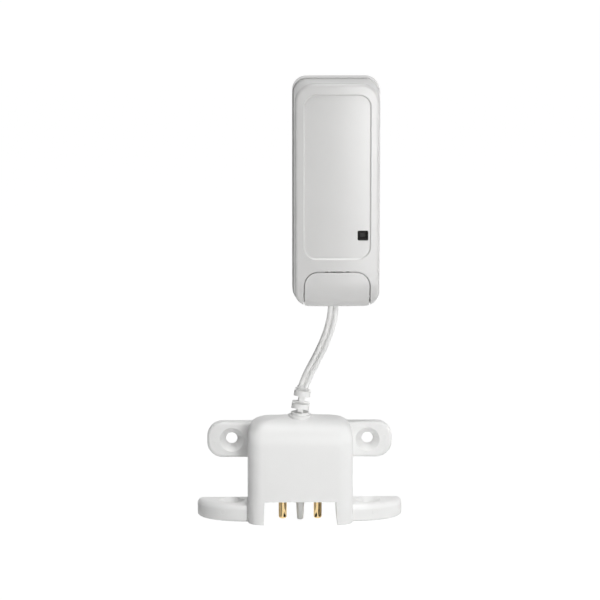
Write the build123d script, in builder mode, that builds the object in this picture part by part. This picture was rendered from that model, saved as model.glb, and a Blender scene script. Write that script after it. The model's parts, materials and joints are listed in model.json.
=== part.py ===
"""Wireless water leak detector: a slim transmitter case and a floor probe with two gold pins, joined by a flat cord.

Lengths are in millimetres. The wall is the plane Y = 0, Z is up, and everything stands in front of the wall,
towards -Y, a distance that is called depth here. The origin is midway between the two ear holes of the probe.
"""
from build123d import *

import os
from math import cos, radians, sin, sqrt, tan

# Clearances that several pieces share
overrun = 1.0                # how far a cutter runs past the face that it cuts
touch = 0.05                 # gap between pieces that touch each other
seat = 0.1                   # gap round a piece that is set into a pocket
quarter_turn = 90            # degrees

# Transmitter case, seen from the front
case_x = 13.1                # middle of the case, to the right of the probe's middle
case_bottom = 52.1
base_depth = 8.0             # the joint between the base and the front cover
base_wall = 2.0
base_back = 2.0
base_corner = 5.2
lip_height = 1.3             # lip of the base that stands into the cover
lip_wall = 0.9
rim_depth = 5.4              # the wall thickens from here to carry the lip

# Front cover
seam_ledge = 0.4             # the cover stands in from the base by this
cover_wall = 1.6
cover_front_wall = 2.0
cover_draft = 0.2            # the front outline stands in further by this
cover_seam_corner = 4.8
cover_top_corner = 7.2
cover_bottom_corner = 5.8
cover_edge = 1.3             # round of the front edge
front_crown = 1.0            # the middle of the front stands proud of its sides by this
chin_height = 9.8            # the lowest part of the front bends back
chin_radius = 15.0
panel_side = 4.15            # border at each side of the sunk panel
panel_head = 4.95            # border above it
panel_foot = 18.55           # its lower edge above the case's bottom
panel_corner = 4.2
panel_step = 0.55
panel_slope = 0.5            # width of the slope that leads down to it

# Light window and the light pipe behind it
window_side = 6.6            # its middle from the case's right side
window_rise = 26.7           # above the case's bottom
window_width = 3.8
window_height = 3.55
window_corner = 0.4
window_sink = 0.3            # the lens lies below the panel by this
hopper_rim = 0.28            # the lens is hollowed by a tapering hollow inside this rim
hopper_slope = 0.6           # width of the hollow's sloping sides
hopper_depth = 0.8
hopper_well = 0.9            # the hollow goes straight on for this much
pipe_radius = 1.4
pipe_collar = 0.9            # wall of the collar that holds the light pipe

# Wiring door
door_side = 4.2              # from the door to each side of the case
door_height = 13.4
door_corner = 5.0
door_gap = 0.42
door_rim = 1.3               # thickness of the door where it lies on the cover's ledge
door_ledge = 1.3
latch_slot_width = 4.3       # slots in the ledge, above the door
latch_rib = 0.95
latch_side_slot = 1.25
door_nib = 0.34              # two nibs on the door's sides
door_nib_rise = 4.4

# Circuit board
board_depth = 5.6            # rear face of the board
board_thickness = 1.2
board_side = 3.3             # from the board to each side of the case
board_rise = 8.6             # lower edge above the case's bottom
board_head = 9.8             # upper edge below the case's top
board_corner = 1.0
standoff_radius = 2.3
pilot_radius = 0.8
board_screw_radius = 1.2
board_screw_head = 2.1
board_screw_head_height = 1.3
board_screw_slot = 0.5
board_screw_length = 4.6
board_screw_side = 2.4       # from a screw's middle to the board's edge
board_screw_low_rise = 13.2
board_screw_drop = 12.5      # the upper screws' middle below the case's top

# Battery, its window in the board and its contacts. The case goes round the battery, with room for the other pieces.
cell_radius = 8.5
cell_length = 33.7
cell_edge = 0.8
nub_radius = 3.25
nub_height = 0.8
cell_rise = 22.6             # lower end above the case's bottom
cell_headroom = 25.7         # from its upper end to the case's top
cell_back_gap = 0.7          # the cell stands off the rear wall by this
cell_front_gap = 1.3         # and this far behind the front wall
cell_side_gap = 1.5          # and this far from the left wall
column_width = 9.1           # room beside the cell, for the chips
contact_sheet = 0.4
contact_width = 8.0
contact_gap = 3.2            # room for the springy contact below the cell
contact_reach = 8.6          # how far the contacts stand off the board
contact_foot = 2.0
window_margin = 1.2          # air beside the cell in the board's window
cradle_thickness = 1.4

# Pieces on the board
shield_width = 12.4
shield_height = 8.6
shield_thickness = 2.6
shield_margin = 0.9          # from the shield to the board's left edge
shield_drop = 15.4           # its middle below the case's top
chip_size = 5.0
chip_thickness = 0.95
small_chip_width = 3.2
small_chip_height = 1.6
led_width = 3.2
led_height = 2.8
led_thickness = 1.8
antenna_wire = 0.9
antenna_stand = 7.6
antenna_span = 17.0
antenna_drop = 4.6
antenna_bend = 1.8
antenna_x = 1.6
antenna_drop_height = 10.5   # below the case's top

# Tamper switch and its plunger
tamper_side = 7.9            # its middle from the case's right side
tamper_drop = 19.8           # its middle below the case's top
tamper_width = 6.2
tamper_body = 4.2
plunger_radius = 1.5
plunger_stem = 0.9
plunger_head = 2.4
plunger_travel = 0.6
post_radius = 1.9

# Enrol switch and its button
enrol_side = 7.6             # its middle from the case's right side
enrol_rise = 14.2
enrol_width = 6.0
enrol_body = 3.4
button_radius = 1.75
button_stem = 1.1
button_head = 2.0
button_travel = 0.3

# Terminal block for the cord's two leads
terminal_rise = 10.6
terminal_width = 9.2
terminal_height = 6.4
terminal_depth = 8.4
terminal_pitch = 3.8
terminal_hood = 2.2          # the block steps back above its wire holes by this
terminal_screw_radius = 1.25
terminal_well = 1.5
terminal_screw_length = 3.2
terminal_screw_slot = 0.45
terminal_screw_sink = 0.6

# Screw holes in the case's back
case_hole_radius = 2.1
case_hole_head = 3.9
case_hole_spacing = 40.0
case_hole_drop = 5.6         # the upper hole's middle below the case's top
case_hole_lip = 0.3          # straight part of the hole, behind the countersink

# Cord and its leads
cord_width = 3.9
cord_thickness = 2.0
cord_x = 12.3
cord_depth = 5.0
cord_hole_gap = 0.15
anchor_width = 8.0
anchor_height = 3.4
anchor_thickness = 3.6
anchor_rib = 1.2
lead_radius = 0.55
lead_rise = 4.2              # the leads turn forward this far above the anchor's foot
lead_entry = 9.9             # depth of the wire holes in the terminal block

# Probe housing
body_width = 38.4
body_depth = 20.0
body_top = 10.6
body_bottom = -28.45
body_arch = 85.0             # radius of the top, seen from the front
body_shoulder = 7.5
body_front_corner = 5.0
body_rear_corner = 0.8
body_edge = 0.4
dome_rise_shares = (0.0, 0.208, 0.407, 0.588, 0.743, 0.857, 0.934, 0.978, 0.996)    # heights of its sections
dome_lead = 0.5              # straight sections below the dome, so that it starts upright
gap_width = 26.2             # the water gap between the legs
gap_draft = 0.35
gap_height = 8.65
body_wall = 2.4
cavity_side = 12.4           # half the width of the room inside
cavity_top = 7.0
recess_radius = 4.4          # flat seat of the strain relief in the dome
recess_drop = 1.0

# Ears and feet of the probe
hole_stand = 5.8             # from the body's side to the middle of a screw hole
hole_radius = 2.1
ear_stand = 14.8             # an ear stands out from the body's side by this
ear_top = 6.6
ear_bottom = -6.7
ear_corner = 5.7
ear_thickness = 4.0
ear_edge = 1.1
ear_sink_radius = 4.45
ear_hole_lip = 0.9
foot_stand = 18.5            # a foot stands out from the body's side by this
foot_sweep = 17.5            # width of the quarter ellipse that rounds a foot
foot_thickness = 6.35
foot_rear_corner = 2.3
foot_depth = 14.7
foot_hole_depth = 6.4
foot_sink_radius = 4.7
foot_edge = 2.0
foot_lower_edge = 0.9

# Probe carrier, pins and board inside the probe
carrier_thickness = 2.4
probe_setback = 7.0          # the pins and the post stand behind the body's front by this
pin_spacing = 12.8
pin_radius = 1.5
pin_tip = 7.6                # below the carrier's lower face
pin_tip_round = 0.8
pin_collar_radius = 2.2
pin_collar = 0.8
pin_tail_radius = 0.7
post_foot_radius = 1.6
post_tip_radius = 1.1
post_length = 8.0
post_round = 0.55
carrier_leg_radius = 1.2
carrier_leg_x = 9.8
carrier_leg_gap = 8.0        # front to back
carrier_leg = 3.2
probe_board_width = 22.4
probe_board_margin = 1.6     # air before and behind the board
probe_board_thickness = 1.6
probe_chip = 3.2
probe_chip_thickness = 1.3
potting_height = 9.2
tail_stand = 1.0             # the pins' tails stand above the board by this

# Strain relief on the probe
flange_radius = 4.3
flange_height = 1.3
collar_radius = 3.3
collar_height = 0.9
neck_radius = 2.2
neck_flange_radius = 3.1
neck_flange = 1.2
relief_tilt = 8.5            # degrees, towards the case
relief_lean = 8.0            # degrees, back towards the wall
relief_shift = -0.15
relief_radius = 3.25
relief_upper_radius = 3.05
relief_spine = 2.3
relief_web = 2.5
notch_height = 1.05
upper_notch = 1.7
lower_ring = 2.95
upper_ring = 2.05
slit_height = 0.6
slit_rise = 1.9              # slit above the foot of the lower ring
cap_height = 0.7
cap_radius = 2.2
cap_spare = 0.6              # the cap is made longer by this, then cut square to the cord
ring_chamfer = 0.35
cap_tilt = 20.0              # degrees, the direction in which the cord leaves
wire_radius = 0.6
wire_spread = 3.4            # the wires meet the board this far to each side
wire_slack = 2.0
wire_bend = 2.5

# Corners of the cord's route between the case and the probe, each as X, depth and height
cord_fall = 50.0             # the cord leaves the case straight down to this height
cord_route = ((11.9, 5.1, 45.8), (10.8, 5.5, 41.4), (9.0, 6.1, 36.8), (6.6, 6.9, 31.8), (4.1, 7.7, 27.3))
cord_rise = 3.1              # length of the last run, which meets the strain relief
cord_lean = 10.0             # degrees by which the last run leans back to the wall
cord_bend_share = 0.45       # each bend takes this share of the shorter run beside it


def front_plane(depth, x=0, z=0):
    """Plane parallel to the wall: its X is X, its Y is height, and its normal points away from the wall."""
    return Plane(origin=(x, -depth, z), x_dir=(1, 0, 0), z_dir=(0, -1, 0))


def level_plane(z, x=0, depth=0):
    """Level plane: its X is X, its Y is depth, and its normal points down."""
    return Plane(origin=(x, -depth, z), x_dir=(1, 0, 0), z_dir=(0, 0, -1))


def side_plane(x, z=0, depth=0):
    """Upright plane square to the wall: its X is depth, its Y is height, and its normal points left."""
    return Plane(origin=(x, -depth, z), x_dir=(0, -1, 0), z_dir=(-1, 0, 0))


case_width = 2 * (seam_ledge + cover_wall) + cell_side_gap + 2 * cell_radius + column_width
case_height = cell_rise + cell_length + cell_headroom
case_depth = base_back + cell_back_gap + 2 * cell_radius + cell_front_gap + cover_front_wall
cell_x = seam_ledge + cover_wall + cell_side_gap + cell_radius - case_width / 2
panel_width = case_width - 2 * panel_side
panel_height = case_height - panel_foot - panel_head
panel_rise = panel_foot + panel_height / 2
door_width = case_width - 2 * door_side
board_width = case_width - 2 * board_side
board_height = case_height - board_rise - board_head
board_screw_x = board_width / 2 - board_screw_side
board_screw_high_rise = case_height - board_screw_drop
window_x = case_width / 2 - window_side
shield_x = shield_margin + shield_width / 2 - board_width / 2
shield_rise = case_height - shield_drop
tamper_x = case_width / 2 - tamper_side
tamper_rise = case_height - tamper_drop
enrol_x = case_width / 2 - enrol_side
antenna_rise = case_height - antenna_drop_height
case_hole_high_rise = case_height - case_hole_drop
board_front = board_depth + board_thickness
cell_depth = base_back + cell_back_gap + cell_radius


def case_plane(depth, x=0, rise=case_height / 2):
    """Front plane placed from the middle of the case and from its bottom."""
    return front_plane(depth, case_x + x, case_bottom + rise)


def case_outline(inset, top_corner, bottom_corner):
    """Rectangle of the case, set in all round, with its own corners at the top and at the bottom."""
    with BuildSketch(mode=Mode.PRIVATE) as outline:
        Rectangle(case_width - 2 * inset, case_height - 2 * inset)
        fillet(outline.vertices().group_by(Axis.Y)[-1], radius=top_corner)
        fillet(outline.vertices().group_by(Axis.Y)[0], radius=bottom_corner)
    return outline.sketch


def cover_form(inset, front_inset):
    """The cover's outer form, or the same form a wall's thickness further in."""
    axis_height = case_bottom + chin_height
    front = case_depth - front_inset
    side = case_width / 2
    with BuildPart() as outline:
        with BuildSketch(case_plane(base_depth)):
            add(case_outline(seam_ledge + inset, cover_seam_corner - inset, cover_seam_corner - inset))
        with BuildSketch(case_plane(case_depth)):
            add(case_outline(seam_ledge + cover_draft + inset, cover_top_corner - inset, cover_bottom_corner - inset))
        loft()
    with BuildPart() as form:
        with BuildSketch(level_plane(axis_height, case_x)) as crown:
            with BuildLine():
                crown_arc = ThreePointArc((-side, front - front_crown), (0, front), (side, front - front_crown))
                Polyline(crown_arc @ 1, (side, case_depth - chin_radius), (-side, case_depth - chin_radius),
                         crown_arc @ 0)
            make_face()
        extrude(amount=-case_height)
        add(crown.sketch)
        chin_axis = Axis((case_x, chin_radius - case_depth, axis_height), (1, 0, 0))
        revolve(axis=chin_axis, revolution_arc=quarter_turn)
        add(outline.part, mode=Mode.INTERSECT)
    return form.part


def door_prism(margin):
    """Upright block with the door's outline, wider all round by the margin and open towards the bottom."""
    height = door_height + margin + overrun
    with BuildPart() as prism:
        with BuildSketch(case_plane(base_depth - overrun, 0, door_height + margin - height / 2)):
            outline = Rectangle(door_width + 2 * margin, height)
            fillet(outline.vertices().group_by(Axis.Y)[-1], radius=door_corner + margin)
        extrude(amount=case_depth)
    return prism.part


# Base of the transmitter, with its screw holes, board posts and battery cradle
pipe_end = board_front + led_thickness + seat
anchor_front = cord_depth + anchor_thickness / 2
with BuildPart() as rear_base:
    with BuildSketch(case_plane(0)):
        add(case_outline(0, base_corner, base_corner))
    extrude(amount=base_depth)
    lip_inset = seam_ledge + cover_wall + seat
    with BuildSketch(case_plane(0)):
        add(case_outline(lip_inset, base_corner - lip_inset, base_corner - lip_inset))
    extrude(amount=base_depth + lip_height)
    rim_inset = lip_inset + lip_wall
    with BuildSketch(case_plane(rim_depth)):
        add(case_outline(rim_inset, base_corner - lip_inset, base_corner - lip_inset))
    extrude(amount=base_depth, mode=Mode.SUBTRACT)
    with BuildSketch(case_plane(base_back)):
        add(case_outline(base_wall, base_corner - base_wall, base_corner - base_wall))
    extrude(amount=rim_depth - base_back, mode=Mode.SUBTRACT)
    screw_places = ((-board_screw_x, board_screw_low_rise), (board_screw_x, board_screw_high_rise))
    post_places = screw_places + ((board_screw_x, board_screw_low_rise), (-board_screw_x, board_screw_high_rise))
    for post_x, post_rise in post_places:
        with BuildSketch(case_plane(base_back, post_x, post_rise)):
            Circle(standoff_radius)
        extrude(amount=board_depth - base_back)
    for post_x, post_rise in screw_places:
        with BuildSketch(case_plane(board_depth, post_x, post_rise)):
            Circle(board_screw_radius + touch)
        extrude(amount=base_back - board_depth, mode=Mode.SUBTRACT)
    for cradle_rise in (cell_rise + cell_length / 5, cell_rise + cell_length * 4 / 5):
        with BuildSketch(level_plane(case_bottom + cradle_rise, case_x + cell_x)):
            Rectangle(cell_radius * 4 / 3, cell_depth, align=(Align.CENTER, Align.MIN))
            with Locations((0, cell_depth)):
                Circle(cell_radius + seat, mode=Mode.SUBTRACT)
        extrude(amount=cradle_thickness / 2, both=True)
    for hole_rise in (case_hole_high_rise, case_hole_high_rise - case_hole_spacing):
        with BuildSketch(case_plane(0, 0, hole_rise)):
            Circle(case_hole_radius)
        extrude(amount=base_back, mode=Mode.SUBTRACT)
        with BuildSketch(case_plane(case_hole_lip, 0, hole_rise)):
            Circle(case_hole_radius)
        with BuildSketch(case_plane(base_back, 0, hole_rise)):
            Circle(case_hole_head)
        loft(mode=Mode.SUBTRACT)
    with BuildSketch(case_plane(rim_depth, cord_x - case_x, base_wall)):
        Rectangle(anchor_width + 2 * touch, anchor_height, align=(Align.CENTER, Align.MIN))
    extrude(amount=base_depth, mode=Mode.SUBTRACT)
    for rib_side in (-1, 1):
        rib_x = cord_x - case_x + rib_side * (anchor_width / 2 + anchor_rib / 2 + touch)
        with BuildSketch(case_plane(base_back, rib_x, base_wall + anchor_height / 2)):
            Rectangle(anchor_rib, anchor_height)
        extrude(amount=anchor_front - base_back)
    with BuildSketch(level_plane(case_bottom - overrun, cord_x, cord_depth)):
        SlotOverall(cord_width + 2 * cord_hole_gap, cord_thickness + 2 * cord_hole_gap)
    extrude(amount=-(base_wall + 2 * overrun), mode=Mode.SUBTRACT)
rear_base.part.label = "rear_base"

# Front cover: a thin shell with the sunk panel, the window, the door's opening and the post of the tamper switch
def front_reach(edge):
    """Depth of an edge's middle, with what the front's crown takes away there added back."""
    middle = edge @ 0.5
    return front_crown * ((middle.X - case_x) / (case_width / 2)) ** 2 - middle.Y


def shell_form():
    """The cover's shell before its openings are cut: rounded rim, sunk panel and hollow inside."""
    with BuildPart() as panel_cut:
        with BuildSketch(case_plane(base_depth, 0, panel_rise)):
            RectangleRounded(panel_width, panel_height, panel_corner)
        extrude(amount=case_depth)
        add(cover_form(panel_step, panel_step), mode=Mode.SUBTRACT)
    with BuildPart() as shell:
        add(cover_form(0, 0))
        rim = shell.edges().filter_by(GeomType.CIRCLE, reverse=True)
        fillet(rim.filter_by(lambda edge: edge.bounding_box().max.Y < -(case_depth + base_depth) / 2), radius=cover_edge)
        add(panel_cut.part, mode=Mode.SUBTRACT)
        cut_edges = shell.edges(Select.LAST)
        chamfer(cut_edges.filter_by(lambda edge: front_reach(edge) > case_depth - panel_step / 2), length=panel_slope)
        add(cover_form(cover_wall, cover_front_wall), mode=Mode.SUBTRACT)
    return shell.part


shell = shell_form()
rim_form = cover_form(door_rim + touch, door_rim + touch)
opening = door_prism(door_gap)
well = door_prism(-door_ledge)
with BuildPart() as front_cover:
    add(shell)
    with BuildPart(mode=Mode.PRIVATE) as sunk_opening:
        add(opening)
        add(rim_form, mode=Mode.SUBTRACT)
    add(sunk_opening.part, mode=Mode.SUBTRACT)
    add(well, mode=Mode.SUBTRACT)
    slot_plane = case_plane(base_depth, 0, door_height - door_ledge / 2)
    with BuildSketch(slot_plane):
        Rectangle(latch_slot_width, door_ledge + 2 * door_gap)
        with Locations(*((latch_side * (latch_slot_width / 2 + latch_rib + latch_side_slot / 2), 0)
                         for latch_side in (-1, 1))):
            Rectangle(latch_side_slot, door_ledge + 2 * door_gap)
    extrude(amount=case_depth - base_depth, mode=Mode.SUBTRACT)
    collar_x = window_width / 2 + seat + pipe_collar
    collar_z = window_height / 2 + seat + pipe_collar
    with BuildSketch(case_plane(case_depth - cover_front_wall - front_crown, window_x, window_rise)):
        Rectangle(2 * collar_x, 2 * collar_z)
    extrude(until=Until.NEXT)
    with BuildSketch(case_plane(base_depth, window_x, window_rise)):
        RectangleRounded(window_width + 2 * touch, window_height + 2 * touch, window_corner + touch)
    extrude(amount=case_depth, mode=Mode.SUBTRACT)
    plunger_face = board_front + tamper_body + plunger_head
    with BuildSketch(case_plane(plunger_face + touch, tamper_x, tamper_rise)):
        Circle(post_radius)
    extrude(until=Until.NEXT)
front_cover.part.label = "front_cover"

# Wiring door: the piece of the cover's shell that closes the opening, thinner where it lies on the ledge
with BuildPart() as wiring_door:
    add(shell)
    add(door_prism(0), mode=Mode.INTERSECT)
    with BuildPart(mode=Mode.PRIVATE) as rim_cut:
        add(cover_form(door_rim, door_rim))
        add(door_prism(-door_ledge - touch), mode=Mode.SUBTRACT)
    add(rim_cut.part, mode=Mode.SUBTRACT)
    nib_plane = level_plane(case_bottom + door_nib_rise, case_x, case_depth - front_crown - door_rim)
    with BuildSketch(nib_plane):
        with Locations((-door_width / 2, 0), (door_width / 2, 0)):
            Circle(door_nib)
    extrude(amount=door_nib, both=True)
wiring_door.part.label = "wiring_door"

# Smoked lens with its light pipe, which ends just in front of the light on the board
with BuildPart() as led_window:
    lens_back = case_depth - cover_front_wall - front_crown
    with BuildSketch(case_plane(lens_back, window_x, window_rise)):
        RectangleRounded(window_width, window_height, window_corner)
    panel_here = case_depth - panel_step - front_crown * (window_x * 2 / case_width) ** 2
    lens_front = panel_here - window_sink
    extrude(amount=lens_front - lens_back)
    fillet(edges().group_by(Axis.Y)[0], radius=hopper_rim / 2)
    for hollow_depth, hollow_inset in ((0, hopper_rim), (hopper_depth, hopper_rim + hopper_slope)):
        with BuildSketch(case_plane(lens_front - hollow_depth, window_x, window_rise)):
            Rectangle(window_width - 2 * hollow_inset, window_height - 2 * hollow_inset)
    loft(mode=Mode.SUBTRACT)
    with BuildSketch(case_plane(lens_front - hopper_depth, window_x, window_rise)):
        Rectangle(window_width - 2 * hollow_inset, window_height - 2 * hollow_inset)
    extrude(amount=-hopper_well, mode=Mode.SUBTRACT)
    with BuildSketch(case_plane(pipe_end, window_x, window_rise)):
        Circle(pipe_radius)
    extrude(amount=lens_back - pipe_end)
led_window.part.label = "led_window"

# Circuit board: a window for the battery, open towards the left, and holes for its two screws
board_middle = board_rise + board_height / 2
window_right = cell_x + cell_radius + window_margin
window_low = cell_rise - contact_gap
window_high = cell_rise + cell_length + nub_height + window_margin
with BuildPart() as circuit_board:
    with BuildSketch(case_plane(board_depth, 0, board_middle)) as board_sketch:
        RectangleRounded(board_width, board_height, board_corner)
        with Locations((window_right, (window_low + window_high) / 2 - board_middle)):
            Rectangle(board_width, window_high - window_low, align=(Align.MAX, Align.CENTER), mode=Mode.SUBTRACT)
        with Locations(*((x, rise - board_middle) for x, rise in screw_places)):
            Circle(board_screw_radius + touch, mode=Mode.SUBTRACT)
    extrude(amount=board_thickness)
circuit_board.part.label = "circuit_board"

# Two screws that hold the board on its posts
with BuildPart() as board_screws:
    for screw_x, screw_rise in screw_places:
        with BuildSketch(case_plane(board_front + touch, screw_x, screw_rise)):
            Circle(board_screw_head)
        extrude(amount=board_screw_head_height)
        with BuildSketch(case_plane(board_front + touch, screw_x, screw_rise)):
            Circle(board_screw_radius)
        extrude(amount=-board_screw_length)
        with BuildSketch(case_plane(board_front + touch + board_screw_head_height, screw_x, screw_rise)):
            Rectangle(2 * board_screw_head, board_screw_slot)
            Rectangle(board_screw_slot, 2 * board_screw_head)
        extrude(amount=-board_screw_head_height / 2, mode=Mode.SUBTRACT)
board_screws.part.label = "board_screws"

# Battery: a stepped cylinder that lies upright in the board's window
cell_floor = level_plane(case_bottom + cell_rise, case_x + cell_x, cell_depth)
with BuildPart() as battery:
    with BuildSketch(cell_floor):
        Circle(cell_radius)
    extrude(amount=-cell_length)
    fillet(battery.edges().filter_by(GeomType.CIRCLE), radius=cell_edge)
    with BuildSketch(cell_floor):
        Circle(nub_radius)
    extrude(amount=-(cell_length + nub_height))
battery.part.label = "battery"

# Sheet contacts: a folded leaf below the cell and a plain angle above it, both with a foot on the board
with BuildPart() as battery_leaf_contact:
    leaf_low = window_low + touch
    leaf_high = cell_rise - touch
    with BuildSketch(side_plane(case_x + cell_x, case_bottom)):
        with BuildLine():
            FilletPolyline((board_front + contact_sheet / 2, window_low - contact_foot),
                           (board_front + contact_sheet / 2, leaf_low + contact_sheet),
                           (board_front + contact_reach, leaf_low + contact_sheet),
                           (board_front + contact_reach - contact_gap / 2, leaf_high - contact_sheet / 2),
                           (board_front + contact_reach / 3, leaf_high - contact_sheet / 2),
                           radius=contact_sheet)
            offset(amount=contact_sheet / 2, side=Side.BOTH)
        make_face()
    extrude(amount=contact_width / 2, both=True)
battery_leaf_contact.part.label = "battery_leaf_contact"

with BuildPart() as battery_plate_contact:
    plate_low = cell_rise + cell_length + nub_height + touch
    with BuildSketch(side_plane(case_x + cell_x, case_bottom)):
        with BuildLine():
            FilletPolyline((board_front + contact_reach, plate_low + contact_sheet / 2),
                           (board_front + contact_sheet / 2, plate_low + contact_sheet / 2),
                           (board_front + contact_sheet / 2, window_high + contact_foot),
                           radius=contact_sheet)
            offset(amount=contact_sheet / 2, side=Side.BOTH)
        make_face()
    extrude(amount=contact_width / 2, both=True)
battery_plate_contact.part.label = "battery_plate_contact"

# Pieces soldered to the board: radio can, chips, light, wire antenna and the two switches
with BuildPart() as radio_shield:
    with BuildSketch(case_plane(board_front, shield_x, shield_rise)):
        RectangleRounded(shield_width, shield_height, board_corner)
    extrude(amount=shield_thickness)
    fillet(radio_shield.edges().group_by(Axis.Y)[0], radius=board_corner / 2)
radio_shield.part.label = "radio_shield"

with BuildPart() as board_chips:
    for chip_place in range(1, 5):
        chip_rise = window_rise + chip_place * (tamper_rise - window_rise) / 5
        with BuildSketch(case_plane(board_front, window_x, chip_rise)):
            if chip_place % 2:
                Rectangle(chip_size, chip_size)
            else:
                Rectangle(small_chip_width, small_chip_height)
        extrude(amount=chip_thickness)
board_chips.part.label = "board_chips"

with BuildPart() as status_led:
    with BuildSketch(case_plane(board_front, window_x, window_rise)):
        Rectangle(led_width, led_height)
    extrude(amount=led_thickness / 2)
    with BuildSketch(case_plane(board_front, window_x, window_rise)):
        Circle(pipe_radius)
    extrude(amount=led_thickness)
status_led.part.label = "status_led"

with BuildPart() as antenna:
    antenna_plane = level_plane(case_bottom + antenna_rise, case_x + antenna_x)
    with BuildLine(antenna_plane) as antenna_path:
        FilletPolyline((-antenna_span / 2, board_front), (-antenna_span / 2, board_front + antenna_stand),
                       (antenna_span / 2, board_front + antenna_stand),
                       (antenna_span / 2, board_front + antenna_stand - antenna_drop), radius=antenna_bend)
    with BuildSketch(case_plane(board_front, antenna_x - antenna_span / 2, antenna_rise)):
        Circle(antenna_wire / 2)
    sweep(path=antenna_path.line)
antenna.part.label = "antenna"

with BuildPart() as tamper_switch:
    with BuildSketch(case_plane(board_front, tamper_x, tamper_rise)):
        RectangleRounded(tamper_width, tamper_width, board_corner / 2)
    extrude(amount=tamper_body)
    with BuildSketch(case_plane(board_front + tamper_body, tamper_x, tamper_rise)):
        Circle(plunger_stem + touch)
    extrude(amount=-tamper_body / 2, mode=Mode.SUBTRACT)
tamper_switch.part.label = "tamper_switch"

with BuildPart() as tamper_plunger:
    stem_end = board_front + tamper_body / 2 + plunger_travel + touch
    with BuildSketch(case_plane(stem_end, tamper_x, tamper_rise)):
        Circle(plunger_stem)
    extrude(amount=plunger_face - stem_end)
    with BuildSketch(case_plane(plunger_face, tamper_x, tamper_rise)):
        Circle(plunger_radius)
    extrude(amount=plunger_travel + touch - plunger_head)
    fillet(tamper_plunger.edges().group_by(Axis.Y)[0], radius=plunger_radius / 3)
tamper_plunger.part.label = "tamper_plunger"

with BuildPart() as enrol_switch:
    with BuildSketch(case_plane(board_front, enrol_x, enrol_rise)):
        RectangleRounded(enrol_width, enrol_width, board_corner / 2)
    extrude(amount=enrol_body)
    with BuildSketch(case_plane(board_front + enrol_body, enrol_x, enrol_rise)):
        Circle(button_stem + touch)
    extrude(amount=-enrol_body / 2, mode=Mode.SUBTRACT)
enrol_switch.part.label = "enrol_switch"

with BuildPart() as enrol_button:
    button_end = board_front + enrol_body / 2 + button_travel + touch
    button_face = board_front + enrol_body + button_head
    with BuildSketch(case_plane(button_end, enrol_x, enrol_rise)):
        Circle(button_stem)
    extrude(amount=button_face - button_end)
    with BuildSketch(case_plane(button_face, enrol_x, enrol_rise)):
        Circle(button_radius)
    extrude(amount=button_travel + touch - button_head)
    fillet(enrol_button.edges().group_by(Axis.Y)[0], radius=button_radius / 4)
enrol_button.part.label = "enrol_button"

# Terminal block: a stepped body with two wire holes below and two screws that a screwdriver reaches from the front
terminal_x = cord_x
terminal_foot = case_bottom + terminal_rise
terminal_places = ((terminal_x - terminal_pitch / 2), (terminal_x + terminal_pitch / 2))
with BuildPart() as terminal_block:
    with BuildSketch(side_plane(terminal_x, terminal_foot, board_front)):
        Polygon((0, 0), (terminal_depth, 0), (terminal_depth, terminal_height - terminal_hood),
                (terminal_depth - terminal_hood, terminal_height), (0, terminal_height), align=None)
    extrude(amount=terminal_width / 2, both=True)
    for terminal_place in terminal_places:
        with BuildSketch(level_plane(terminal_foot, terminal_place, lead_entry)):
            Circle(lead_radius + seat)
        extrude(amount=-terminal_height / 2, mode=Mode.SUBTRACT)
        screw_middle = terminal_foot + (terminal_height - terminal_hood) / 2
        with BuildSketch(front_plane(board_front + terminal_depth, terminal_place, screw_middle)):
            Circle(terminal_well)
        extrude(amount=-(terminal_screw_length + terminal_screw_sink + touch), mode=Mode.SUBTRACT)
terminal_block.part.label = "terminal_block"

with BuildPart() as terminal_screws:
    for terminal_place in terminal_places:
        screw_top = board_front + terminal_depth - terminal_screw_sink
        with BuildSketch(front_plane(screw_top, terminal_place, screw_middle)):
            Circle(terminal_screw_radius)
        extrude(amount=-terminal_screw_length)
        with BuildSketch(front_plane(screw_top, terminal_place, screw_middle)):
            Rectangle(2 * terminal_screw_radius, terminal_screw_slot)
        extrude(amount=-terminal_screw_length / 4, mode=Mode.SUBTRACT)
terminal_screws.part.label = "terminal_screws"

# Anchor that grips the end of the cord inside the base, and the two leads that rise from it to the terminals
anchor_foot = case_bottom + base_wall
with BuildPart() as cord_anchor:
    with BuildSketch(level_plane(anchor_foot, cord_x, base_back + touch)):
        Rectangle(anchor_width, anchor_front - base_back - touch, align=(Align.CENTER, Align.MIN))
    extrude(amount=-anchor_height)
    fillet(cord_anchor.edges().filter_by(Axis.Z), radius=board_corner / 2)
cord_anchor.part.label = "cord_anchor"

lead_start = anchor_foot + anchor_height
with BuildPart() as cord_leads:
    for lead_side, terminal_place in zip((-1, 1), terminal_places):
        lead_x = cord_x + lead_side * cord_width / 4
        lead_turn = anchor_foot + lead_rise
        with BuildLine() as lead_path:
            FilletPolyline((lead_x, -cord_depth, lead_start), (lead_x, -cord_depth, lead_turn),
                           (terminal_place, -lead_entry, lead_turn), (terminal_place, -lead_entry, terminal_foot + seat),
                           radius=lead_radius)
        with BuildSketch(level_plane(lead_start, lead_x, cord_depth)):
            Circle(lead_radius)
        sweep(path=lead_path.line)
cord_leads.part.label = "cord_leads"

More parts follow.
